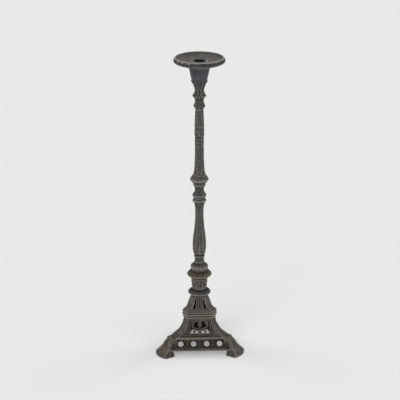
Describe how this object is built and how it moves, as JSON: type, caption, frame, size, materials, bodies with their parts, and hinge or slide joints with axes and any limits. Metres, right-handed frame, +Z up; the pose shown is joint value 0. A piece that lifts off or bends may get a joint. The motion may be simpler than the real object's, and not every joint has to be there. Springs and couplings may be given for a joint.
{
  "type": "pillar candle holder",
  "caption": "Tall cast-iron altar candlestick: round drip pan with a candle socket on a turned and carved stem, over a pierced three-sided base with three splayed feet.",
  "frame": {"origin": "on the stem axis, at the level of the three soles", "axes": "+Z up along the stem, -Y out of the middle of the front panel, so the third leg points along +Y"},
  "size_m": [0.1798, 0.1623, 0.6077],
  "materials": {
    "pan_iron": "aged dark casting, worn lighter on the lip",
    "cup_iron": "aged bluish grey casting",
    "stem_iron": "aged dark casting with fine foliage relief",
    "ring_iron": "olive brown rubbed casting",
    "tier_iron": "dark pierced casting",
    "ledge_iron": "brown mouldings with worn edges",
    "panel_iron": "dark pierced casting, lighter on the scrolls",
    "leg_iron": "dark casting with brown rust bloom on the feet",
    "fastener_steel": "dull oiled steel"
  },
  "bodies": {
    "root": {"drip_pan": "pan_iron", "candle_cup": "cup_iron", "leaf_knop": "stem_iron", "upper_stem": "stem_iron", "middle_collar": "stem_iron", "waisted_link": "stem_iron", "baluster": "stem_iron", "cushion": "stem_iron", "wide_ring": "ring_iron", "carved_knop": "stem_iron", "narrow_ring": "stem_iron", "upper_tier": "tier_iron", "ledge_plate": "ledge_iron", "front_panel": "panel_iron", "right_panel": "panel_iron", "left_panel": "panel_iron", "right_leg": "leg_iron", "rear_leg": "leg_iron", "left_leg": "leg_iron", "tie_rod": "fastener_steel", "tie_washer": "fastener_steel", "tie_nut": "fastener_steel", "leg_screws": "fastener_steel"}
  },
  "joints": []
}
